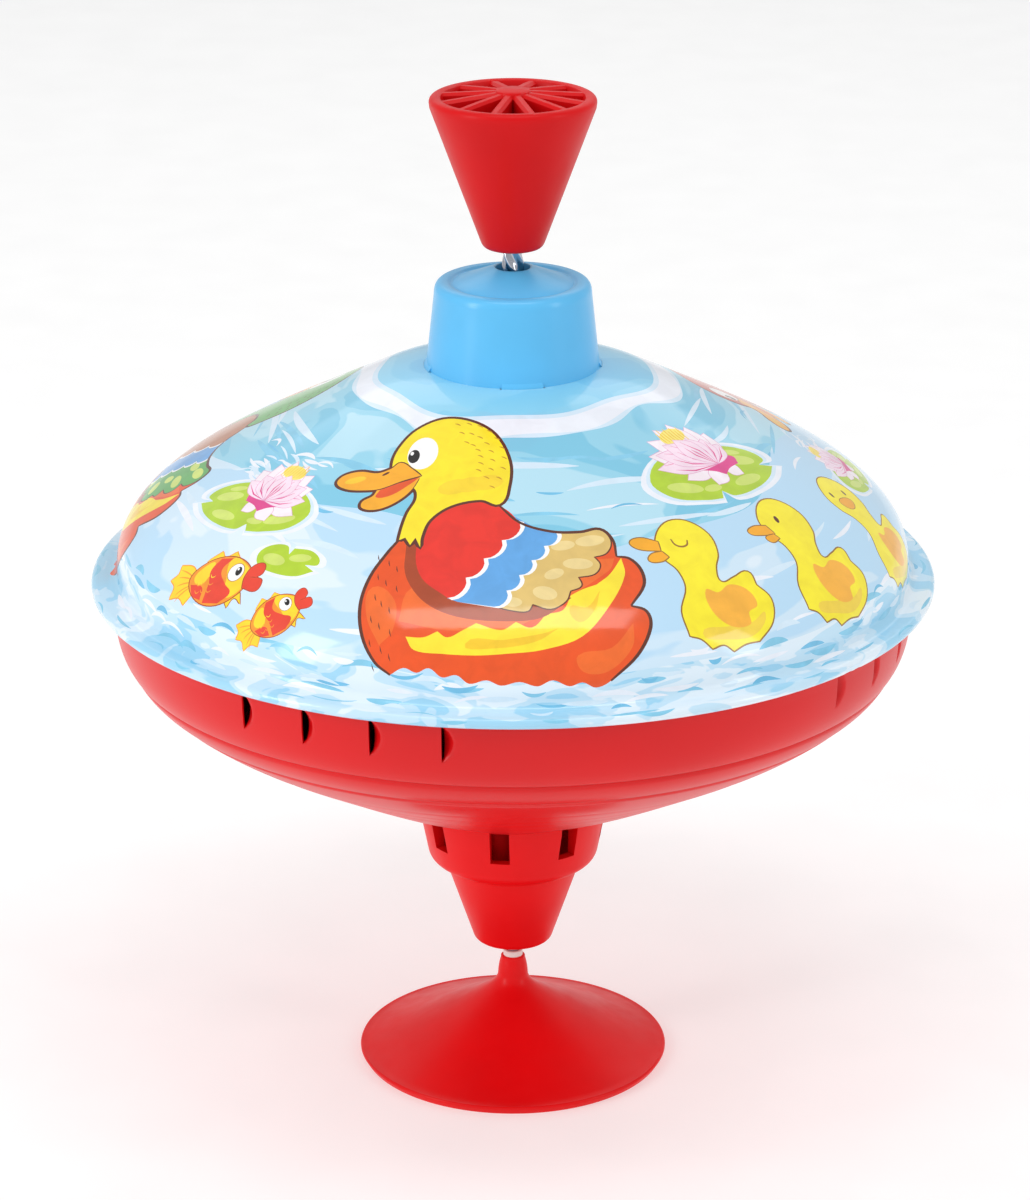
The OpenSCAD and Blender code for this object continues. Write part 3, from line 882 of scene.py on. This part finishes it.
def draw_chick(turn, s, tilt=0.0, size=1.0, look="left"):
    """A duckling with a round head, a raised tail and a small wing."""
    m = Motif(turn, s, tilt, size)
    body = [
        (-8.6, 12.8), (-8.2, 8), (-5.6, 4.4), (-4.8, -0.4), (-7, -6.4), (-6, -12, 1), (-3.4, -12.6),
        (-0.8, -14.6, 1),
        (2, -13.6), (4.6, -14.8, 1), (7.6, -13), (11.2, -12, 1), (14.8, -7.4), (15.2, -2), (12.2, 1.2, 1),
        (11, 4.6),
        (7.2, 2.8), (3.8, 1.4), (3.4, 5), (5, 9.4), (4.4, 15), (0, 18.8), (-5, 18)]
    shape(m, "chick", body, "chick_line", 0.36)
    shape(m, "chick_shade", [(-3, -11.4), (3, -12.4), (10, -10.8), (13.2, -5.6), (9.6, -8), (3, -9.6)])
    shape(m, "chick_wing", [(-0.4, -0.8), (0, -6), (4, -9.4), (9, -8.6), (9, -5.8), (11.4, -3.8), (9.6, -0.2),
                            (5.6, 0.8), (2.4, -1.4)])
    if look == "left":
        shape(m, "beak", [(-8.2, 12.4, 1), (-12, 13.6), (-14.6, 12.4), (-13, 10.4),
            (-8.2, 9.8, 1)], "chick_line", 0.3)
        shape(m, "beak", [(-8, 9.6, 1), (-10.6, 8.8), (-11.4, 7), (-8.6, 6.8),
            (-6.8, 8, 1)], "chick_line", 0.3)
        edge(m, "chick_line", [(-5, 13.2), (-4.4, 11.6), (-3, 11), (-1.6, 11.6), (-1.2, 13)], 0.5)
    elif look == "down":
        shape(m, "beak", [(-7.8, 10.4, 1), (-11.4, 10.2), (-13.4, 8.4), (-10, 7.6),
            (-6.6, 8, 1)], "chick_line", 0.3)
        shape(m, "beak", [(-7, 7.8, 1), (-9.6, 6.8), (-8.4, 5.4), (-6, 6.6, 1)], "chick_line", 0.26)
        oval(m, "outline", -3.6, 12.4, 0.6, 1.1, n=12)
    else:
        shape(m, "beak", [(-5, 10.4), (-2, 11.2), (0.6, 10.2), (-0.4, 8.2), (-2.4, 7.4),
            (-4.6, 8.4)], "chick_line", 0.2)
        oval(m, "outline", -5.6, 12.8, 0.45, 1.0, n=12)
        oval(m, "outline", 0.8, 12.8, 0.45, 1.0, n=12)


def draw_splash(turn, s, wide, tall, count, seed):
    """A cluster of curled foam strokes."""
    draw = random.Random(seed)
    m = Motif(turn, s)
    for i in range(count):
        x, y = draw.uniform(-wide, wide), draw.uniform(-tall, tall)
        half = draw.uniform(1.5, 4.2)
        rise = draw.uniform(-0.3, 0.35) * half
        stroke(m, "foam" if i % 3 else "pale",
               bow(x - half, y - rise, x + half, y + rise, draw.uniform(-1.5, 1.5), 8),
               draw.uniform(0.5, 1.2), ends=0.1)


def draw_print():
    draw_water()
    draw_splash(-62, 56, 13, 6, 34, 3)
    draw_splash(100, 66, 9, 5, 16, 5)
    draw_splash(150, 50, 14, 5, 26, 9)
    draw_duck(-4, 68, "head", "tan", "wing_blue", "shoulder")
    draw_duck(-99.5, 73.5, "mallard", "wing_green", "wing_blue", "brown", -3, 0.96)
    draw_duck(132, 70, "rust", "light_tan", "wing_green", "shoulder", 10, 0.9)
    draw_lily(51, 52.5, -9, 0.95, lean=1.6)
    draw_lily(-55.5, 66.5, 14, 0.87, flip=-1, lean=-3.8, sway=5.0)
    draw_lily(92, 77, -6, 0.68)
    draw_lily(-173, 60, 0, 0.9)
    draw_pad(-39.5, 77, 4, 0.9)
    draw_pad(172, 84, 6, 0.9)
    draw_fish(-49.5, 87, 20, 0.9)
    draw_fish(-36, 90.5, 44, 0.66)
    draw_fish(-165, 89, 8, 0.8)
    draw_chick(31, 81.5, -14, 0.98, "left")
    draw_chick(53, 83.5, -22, 0.98, "down")
    draw_chick(75, 87, -20, 0.92, "front")
    draw_chick(-148, 84, 6, 0.8, "left")


# ---------------------------------------------------------------- pieces

def inside(points, polygon):
    """True for each point that an outline winds round."""
    x, y = points[:, 0], points[:, 1]
    turns = np.zeros(len(points), int)
    n = len(polygon)
    for i in range(n):
        (x0, y0), (x1, y1) = polygon[i], polygon[(i + 1) % n]
        if y0 == y1:
            continue
        at = x0 + (y - y0) / (y1 - y0) * (x1 - x0)
        if y0 < y1:
            turns += (y >= y0) & (y < y1) & (x < at)
        else:
            turns -= (y >= y1) & (y < y0) & (x < at)
    return turns != 0


# The first slot's turn from the front and its angle, and where it starts and ends down the dome
SLOT_TURN, SLOT_ANGLE = 6.3, 29.4
SLOT_S = (17.5 - CROWN_HOLE, 19.9 - CROWN_HOLE)


def crown_slots():
    """Outlines of the four slots for the cap's hooks, on the flat sheet."""
    out = []
    for k in range(4):
        middle = math.radians((SLOT_TURN + 90 * k + 180) % 360 - 180)
        half = math.radians(SLOT_ANGLE / 2)
        corners = []
        for i in range(9):
            corners.append(((middle - half + 2 * half * i / 8) * AROUND, SLOT_S[1]))
        for i in range(9):
            corners.append(((middle + half - 2 * half * i / 8) * AROUND, SLOT_S[0]))
        out.append(corners)
    return out


def build_upper_shell():
    """The dome: one sheet, divided along the edges of its print."""
    draw_print()
    columns = 180
    half = math.pi * AROUND
    points, edges = [], []
    rows = len(DOME_S)
    for j, s in enumerate(DOME_S):
        for i in range(columns + 1):
            points.append((-half + 2 * half * i / columns, float(s)))
    row = columns + 1
    for start in (0, (rows - 1) * row):
        edges += [(start + i, start + i + 1) for i in range(columns)]
    for start in (0, columns):
        edges += [(start + j * row, start + (j + 1) * row) for j in range(rows - 1)]
    outlines = PRINT + [(-1, slot) for slot in crown_slots()]
    for _, outline in outlines:
        start = len(points)
        points += [(min(half, max(-half, x)), min(PRINT_END, max(0.0, y))) for x, y in outline]
        n = len(outline)
        edges += [(start + i, start + (i + 1) % n) for i in range(n)]
    weld = 0.004  # points closer than this become one
    made = delaunay_2d_cdt([Vector(p) for p in points], edges, [], 0, weld, False)
    flat = np.array([tuple(v) for v in made[0]])
    tris = np.array([list(f) for f in made[2]])
    middles = flat[tris].mean(1)
    marks = np.full(len(tris), INK_INDEX["low_water"])
    for mark, outline in outlines:
        low, high = np.min(outline, 0), np.max(outline, 0)
        near = np.where(np.all((middles >= low) & (middles <= high), axis=1))[0]
        if len(near):
            marks[near[inside(middles[near], outline)]] = mark
    tris, marks = tris[marks >= 0], marks[marks >= 0]
    # the two edges at the back are one line
    keys, index, remap = {}, [], []
    for x, y in flat:
        key = (round(-half if x > half - 1e-3 else x, 3), round(y, 3))
        if key not in keys:
            keys[key] = len(index)
            index.append((key[0], y))
        remap.append(keys[key])
    remap = np.array(remap)
    tris = remap[tris]
    good = (tris[:, 0] != tris[:, 1]) & (tris[:, 1] != tris[:, 2]) & (tris[:, 0] != tris[:, 2])
    tris, marks = tris[good], marks[good]
    sheet = np.array(index)
    r, z, nr, nz = dome_at(sheet[:, 1])
    a = sheet[:, 0] / AROUND + math.radians(FRONT)
    verts = np.stack([r * np.cos(a), r * np.sin(a), z], 1)
    normals = np.stack([nr * np.cos(a), nr * np.sin(a), nz], 1)
    first = verts[tris[0]]
    facing = np.cross(first[1] - first[0], first[2] - first[0])
    if np.dot(facing, normals[tris[0][0]]) < 0:
        tris = tris[:, ::-1]
    verts, faces, normals, marks = both_sides(
        [tuple(v) for v in verts], [list(map(int, t)) for t in tris], [tuple(n) for n in normals],
        [int(k) for k in marks], len(INKS))
    dome = make_object("upper_shell_printed", verts, faces, INKS + [printed_inside], marks, normals=normals)
    return install(dome, "spinner", "printed_tin", "upper_shell")


# A louvre is the dent of a ball: its radius, level and depth, and how far off its middle the slit is
LOUVRE_R, LOUVRE_Z, LOUVRE_DEEP, SLIT_OFF = 5.6, 112.5, 2.4, 1.7
SLIT_GAP = 0.9
# The middle of a group, the angle between its louvres, and their number
LOUVRE_TURN, LOUVRE_STEP, LOUVRE_N = -24.5, 10.0, 4


def shell_outline():
    """The lower shell's outer face from the flange down to the hub."""
    top = FLANGE_Z - 2 * SHEET - 0.03
    path = [(FLANGE_R + 0.2, top)]
    path += arc((WALL_R + 2.6, top - 2), 2, 90, 180, 6)
    path += line((WALL_R + 0.6, top - 2), (WALL_R + 0.4, 113.6), 1.2)
    path += cubic((WALL_R + 0.4, 113.4), (WALL_R + 0.3, 108), (WALL_R - 0.6, 105), (WALL_R - 2.2, 102.7), 26)
    path += [(86.7, 102.45), (86.3, 102.25), (86.05, 102.0), (86.0, 101.7)]
    path += cubic((86.15, 101.35), (85.3, 99.6), (83.7, 97.9), (81.8, 96.5), 8)
    path += [(81.4, 96.3), (80.95, 96.1), (80.6, 95.8), (80.45, 95.4)]
    path += cubic((80.3, 95.15), (74.5, 90.6), (68, 87), (60, 82.75), 18)
    path += cubic((60, 82.75), (46, 75.2), (38, 70.8), (24, 65.3), 18)
    path += [(23, 64.75), (22.4, 64.3), (21.8, 64.02), (20.55, 64.0)]
    out = []
    for r, z in tidy(path):
        for ring, deep in ((70.5, 0.22), (63, 0.2), (55.5, 0.18), (48, 0.14)):
            z += deep * math.exp(-((r - ring) / 0.75) ** 2)
        out.append((r, z))
    return out


def build_lower_shell():
    """The red shell, with its louvres pressed in beside their slits."""
    rough = shell_outline()
    outline = [rough[0]]
    for p in rough[1:]:
        gap = 0.55 if outline[-1][1] > 101 else 0.8  # the louvres need closer rows
        outline += line(outline[-1], p, gap)[1:]
    outline = tidy(outline)
    slits = []
    for g in range(4):
        for i in range(LOUVRE_N):
            slits.append(LOUVRE_TURN + 90 * g + (i - (LOUVRE_N - 1) / 2) * LOUVRE_STEP + FRONT)
    degree = math.radians(WALL_R)  # millimetres in one degree at the wall
    wide = LOUVRE_R * 0.7 / degree
    wanted = set(round(k * 1.5, 4) for k in range(240))
    for slit in slits:
        for k in [-2, -1, 0] + list(range(3, 17)):
            wanted.add(round((slit + k * 0.24) % 360, 4))
    marked = set(round(s % 360, 4) for s in slits)
    columns = []
    for c in sorted(wanted):
        if not columns or c - columns[-1] >= 0.1:
            columns.append(c)
        elif c in marked:
            columns[-1] = c
    half_chord = math.sqrt(LOUVRE_R**2 - (LOUVRE_R - LOUVRE_DEEP) ** 2 - SLIT_OFF**2)

    def dent(column, z, from_left):
        """How far the wall is pressed in at a column, on one side of a slit."""
        for slit in slits:
            off = (column - slit + 180) % 360 - 180
            if off < -1e-6 or off > wide or (off < 1e-6 and not from_left):
                continue
            x, y = off * degree + SLIT_OFF, z - LOUVRE_Z
            room = LOUVRE_R**2 - x * x - y * y
            return max(0.0, math.sqrt(room) - (LOUVRE_R - LOUVRE_DEEP)) if room > 0 else 0.0
        return 0.0

    verts, faces = [], []
    left, right = {}, {}
    for i, column in enumerate(columns):
        a = math.radians(column)
        for j, (r, z) in enumerate(outline):
            plain = dent(column, z, False)
            pressed = dent(column, z, True)
            left[i, j] = len(verts)
            verts.append(((r - plain) * math.cos(a), (r - plain) * math.sin(a), z))
            right[i, j] = left[i, j]
            if column in marked and abs(z - LOUVRE_Z) < half_chord and pressed > 0.02:
                right[i, j] = len(verts)
                b = a + SLIT_GAP * min(1.0, pressed) / r
                verts.append(((r - pressed) * math.cos(b), (r - pressed) * math.sin(b), z))
    n = len(columns)
    for i in range(n):
        k = (i + 1) % n
        for j in range(len(outline) - 1):
            faces.append((right[i, j], right[i, j + 1], left[k, j + 1], left[k, j]))
    made = bpy.data.meshes.new("scratch")
    made.from_pydata(verts, [], faces)
    normals = [tuple(v.normal) for v in made.vertices]
    bpy.data.meshes.remove(made)
    probe = len(verts) // 2
    if verts[probe][0] * normals[probe][0] + verts[probe][1] * normals[probe][1] < 0:
        faces = [tuple(reversed(f)) for f in faces]
        normals = [tuple(-c for c in m) for m in normals]
    verts, faces, normals, marks = both_sides(verts, faces, normals, [0] * len(faces), 0)
    shell = make_object("lower_shell_pressed", verts, faces, [red_tin], marks, sharp=50)
    return install(shell, "spinner", "red_tin", "lower_shell")


PIN_R, BUSH_R = 1.5, 2.25
WINDOW_N, WINDOW_TURN = 8, -8.3
WINDOW_Z, WINDOW_SIZE = 59.45, (10, 4.5, 8.1)


def build_hub():
    """The slotted hub, its windows cut by blocks."""
    _, low, top = span("hub")
    seat = top - 3.6  # where the lower shell rests
    neck, ledge, ledge_z, well, bore = 20.45, 19.1, 62.6, 3.9, 4.2
    outline = [(PIN_R, low)]
    outline += cubic((6.4, low), (8.2, low + 0.1), (9, low + 0.6), (9.3, low + 1.7), 8)
    outline += line((9.3, low + 1.7), (15.35, low + 19.4), 6)
    outline += cubic((15.35, low + 19.4), (15.5, low + 20), (15.7, low + 20.2), (16.2, low + 20.3), 4)
    outline += cubic((16.4, low + 20.35), (18.0, low + 20.8), (19.2, low + 21.6), (19.6, low + 23.2), 8)
    outline += line((19.6, low + 23.2), (21.7, 62), 4)
    outline += [(21.85, seat - 0.25), (21.7, seat), (neck, seat), (neck, top - 0.5), (20, top), (ledge, top)]
    outline += [(ledge, ledge_z), (18.3, ledge_z), (18, 52.2), (14.4, 50), (13.7, 47.9), (7.8, 33.6),
        (5.4, 33.6)]
    outline += [(5.4, 62), (bore, 62), (bore, 58), (well, 58), (well, 34), (PIN_R, 34)]
    hub = lathe("hub_moulding", outline, red_plastic, 160)
    cutters = []
    for k in range(WINDOW_N):
        turn = FRONT + WINDOW_TURN + 360 / WINDOW_N * k
        cutters.append(block("window_%d" % k, (20, 0, WINDOW_Z), WINDOW_SIZE, turn))
    cut(hub, cutters)
    return install(hub, "spinner", "red_plastic", "hub")


def build_foot():
    """The hollow trumpet foot and its post."""
    rim, _, top = span("foot")
    bush_z, hollow_z = 15, 12.6
    outline = [(rim - 2.2, 0), (rim - 0.8, 0)]
    outline += arc((rim - 0.6, 1.4), 0.6, -10, 62, 6)
    outline += reversed(cubic((12, 12.1), (18, 9.1), (26, 4.6), (rim - 0.95, 1.9), 20))
    outline += reversed(cubic((3.5, 19.2), (3.8, 17.2), (6, 15.6), (12, 12.1), 18))
    outline += reversed(cubic((2.82, top - 0.7), (3.25, 22), (3.45, 20.5), (3.5, 19.2), 8))
    outline += arc((2.52, top - 0.4), 0.3, 0, 90, 5)
    outline += [(BUSH_R, top - 0.05), (BUSH_R, bush_z), (0, bush_z), (0, hollow_z), (7, hollow_z)]
    outline += reversed(cubic((rim - 2.6, 0.9), (25.5, 3.2), (17.5, 7.6), (11.5, 10.7), 12))
    return install(lathe("foot_moulding", outline, red_plastic, 192), "stand", "red_plastic", "foot")


def build_foot_bush():
    """The bush that the axle pin turns in, round at its top edge."""
    _, low, top = span("foot_bush")
    bore, floor = PIN_R + 0.05, 16.4
    outline = [(0, low), (BUSH_R, low), (BUSH_R, top - 0.4)]
    outline += arc((BUSH_R - 0.3, top - 0.3), 0.3, 0, 90, 5)
    outline += [(bore + 0.15, top), (bore, top - 0.15), (bore, floor), (0, floor)]
    return install(lathe("foot_bush_turned", outline, nylon, 64), "stand", "white_nylon", "foot_bush")


def build_cap():
    """The cap over the clutch, and the hooks that hold it in the crown's slots."""
    top = span("cap")[2]
    foot, hole, boss, room = 19.27, 3.8, 8.5, 183.8
    outline = [(foot + 0.03, CROWN_Z), (foot, CROWN_Z + 0.25)]
    outline += line((foot, CROWN_Z + 0.25), (17.55, CROWN_Z + 16), 3)
    for a, b, c, d, n in (
        ((17.5, 16.8), (17.42, 18.3), (16.7, 19.2), (15.3, 19.15), 8),
        ((14.6, 19.1), (14, 18.9), (13.8, 18.5), (13.4, 18.6), 5),
    ):
        outline += cubic(*((r, CROWN_Z + z) for r, z in (a, b, c, d)), n)
    outline += line((13.2, CROWN_Z + 18.75), (4.6, top - 0.15), 2.5)
    outline += [(hole + 0.4, top), (hole + 0.1, top - 0.1), (hole, top - 0.4), (hole, 188.4), (5.6, 187.8)]
    outline += [(5.6, room), (boss, room), (boss, 186.4), (12.6, 185), (15.4, 184.6), (16, 184),
        (17.75, CROWN_Z)]
    cap = lathe("cap_moulding", outline, blue_plastic, 160)
    section = [(17.9, 1), (19.2, 1), (19.86, 0), (19.86, -0.7), (20.2, -1), (19, -2.4), (17.9, -2.4)]
    wide, steps = 27, 12
    verts, faces = [], []
    for k in range(4):
        rings = []
        for i in range(steps + 1):
            a = math.radians(FRONT + SLOT_TURN + 90 * k + wide * (i / steps - 0.5))
            rings.append([(r * math.cos(a), r * math.sin(a), CROWN_Z + z) for r, z in section])
        add_loft(verts, faces, rings)
    hooks = make_object("cap_hooks", verts, faces, [blue_plastic])
    install(hooks, "spinner", "blue_plastic", "cap")
    return install(cap, "spinner", "blue_plastic", "cap")


def build_knob():
    """The knob: a cone with an open top, and ribs from its raised middle to its rim."""
    wide, low, _ = span("knob")
    edge, bar, socket, floor = 228.7, 2.4, 214, 201
    outline = [(bar, low)]
    outline += cubic((5.4, low), (6.5, low + 0.1), (6.9, low + 0.8), (7.25, low + 1.8), 8)
    outline += line((7.25, low + 1.8), (wide - 0.12, edge - 2.4), 5)
    outline += cubic((wide, edge - 1.4), (wide + 0.05, edge - 0.6), (17.9, edge - 0.02), (17, edge), 8)
    outline += [(16.4, edge - 0.05), (15.9, edge - 0.3), (15.6, edge - 0.9), (7.4, floor), (4.4, floor)]
    outline += [(3.95, edge + 0.7), (3.7, edge + 1.2), (3.2, edge + 1.45), (0, edge + 1.5), (0, socket)]
    outline += [(bar, socket)]
    install(lathe("knob_moulding", outline, shaded_knob_plastic, 160), "plunger", "red_plastic", "knob")
    sides = ((-1.15, 0.6), (-0.55, 0), (0.55, 0), (1.15, 0.6))  # across a rib, and how far its edge drops
    section = [(3.2, floor - 0.6), (7.6, floor - 0.6), (16.0, edge - 1.5), (16.2, edge - 0.3),
               (9, edge + 0.45), (3.2, edge + 1.0)]
    rib_n = 12
    verts, faces = [], []
    for k in range(rib_n):
        turn = (k + 0.5) * 360 / rib_n
        rings = []
        for side, drop in sides:
            rings.append([(*turned(r, side, turn), z - (drop if z > edge - 1 else 0)) for r, z in section])
        add_loft(verts, faces, rings)
    ribs = make_object("knob_ribs", verts, faces, [shaded_knob_plastic])
    return install(ribs, "plunger", "red_plastic", "knob")


def build_spindle():
    """The twisted bar, with the lead of the nut's coupling, and plain ends."""
    lead, bar_r, dip, around = 24.0, 2.5, 0.62, 40
    low, twist_low, twist_top, top = 35.4, 64.0, 196.0, 214.0
    twist_steps = 264
    levels = [low, low + 0.4, 50, 62, 63.2]
    levels += [twist_low + (twist_top - twist_low) * i / twist_steps for i in range(twist_steps + 1)]
    levels += [196.8, 198, 206, top]
    rings = []
    for z in levels:
        twisted = twist_low <= z <= twist_top
        ring = []
        for i in range(around):
            a = -2 * math.pi * i / around
            turn = a - 2 * math.pi * (z - twist_low) / lead
            if twisted:
                r = bar_r - dip * (1 - math.cos(4 * a)) / 2
            else:
                r = (bar_r - 0.1) * (0.85 if z == low else 0.95)
            ring.append((r * math.cos(turn), r * math.sin(turn), z))
        rings.append(ring)
    verts, faces = [], []
    add_loft(verts, faces, rings)
    bar = make_object("spindle_twisted", verts, faces, [steel], sharp=40)
    return install(bar, "plunger", "steel", "spindle")


def build_axle_pin():
    """The pin with a round tip, and its head on the hub's floor."""
    head_z = 34
    outline = [(0, 16.5)] + arc((0.7, 17.3), 0.8, -80, 0, 6)
    outline += [(PIN_R, 17.6), (PIN_R, head_z), (3.2, head_z)]
    outline += arc((2.8, head_z + 0.7), 0.4, 0, 90, 5) + [(0, head_z + 1.1)]
    return install(lathe("axle_pin_turned", outline, steel, 64), "spinner", "steel", "axle_pin")


def dress_hidden_nodes():
    """Gives the inner CAD pieces their materials."""
    for names, material in (
        (("reed_plate", "reeds", "reed_rivets", "thrust_washer"), brass),
        (("guide_tube", "hub_lock_ring"), tube_steel),
        (("spindle_guide", "clutch_seat", "spindle_stop", "drive_nut"), nylon),
        (("reed_gasket",), felt_ring),
    ):
        for name in names:
            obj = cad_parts[name]
            if not obj.material_slots:
                obj.data.materials.append(material)
            for slot in obj.material_slots:
                slot.material = material


# ---------------------------------------------------------------- stage

CAMERA_AT = (0.0, -0.9016, 0.44015)
CAMERA_TILT = 20.0  # degrees below level
CAMERA_LENS = 126.85


def build_stage():
    """A pale floor, a soft studio and a camera."""
    scene = bpy.context.scene
    scene.view_settings.view_transform = "Standard"
    mat, tree, shader = new_material("paper_floor")
    paint_base(tree, shader, noise(tree, 40, 3), [(0.3, (0.62, 0.62, 0.62, 1)), (0.7, (0.65, 0.65, 0.65, 1))])
    shader.inputs["Roughness"].default_value = 0.9
    shader.inputs["Emission Color"].default_value = (1, 1, 1, 1)
    shader.inputs["Emission Strength"].default_value = 0.42
    half = 2600.0
    corners = [(-half, -half, 0), (half, -half, 0), (half, half, 0), (-half, half, 0)]
    floor = make_object("floor", corners, [(0, 1, 2, 3)], [mat])

    world = bpy.data.worlds.new("studio")
    world.use_nodes = True
    scene.world = world
    back = world.node_tree.nodes["Background"]
    back.inputs["Color"].default_value = (1.0, 1.0, 1.0, 1)
    back.inputs["Strength"].default_value = 0.62

    for name, place, size, power, aim in (
        ("top_box", (0.0, -0.30, 1.15), (0.9, 0.26), 3.2, (0, 0, 0.15)),
        ("left_box", (-1.05, -0.6, 0.5), (0.26, 0.8), 4.6, (0, 0, 0.12)),
        ("right_box", (1.1, -0.5, 0.5), (0.22, 0.7), 2.0, (0, 0, 0.12)),
        ("back_box", (0.0, 1.0, 0.9), (1.2, 0.5), 1.5, (0, 0, 0.1)),
    ):
        lamp = bpy.data.lights.new(name, "AREA")
        lamp.shape = "RECTANGLE"
        lamp.size, lamp.size_y = size
        lamp.energy = power
        obj = bpy.data.objects.new(name, lamp)
        obj.location = place
        obj.rotation_euler = (Vector(aim) - Vector(place)).to_track_quat("-Z", "Y").to_euler()
        bpy.context.collection.objects.link(obj)

    camera = bpy.data.cameras.new("camera")
    camera.sensor_width = 36.0
    camera.lens = CAMERA_LENS
    camera.shift_x = 0.0017
    camera.clip_start, camera.clip_end = 0.05, 20.0
    obj = bpy.data.objects.new("camera", camera)
    obj.location = CAMERA_AT
    obj.rotation_euler = (math.radians(90 - CAMERA_TILT), 0.0, 0.0)
    bpy.context.collection.objects.link(obj)
    scene.camera = obj


build_stage()
build_upper_shell()
build_lower_shell()
build_hub()
build_foot()
build_foot_bush()
build_cap()
build_knob()
build_spindle()
build_axle_pin()
dress_hidden_nodes()
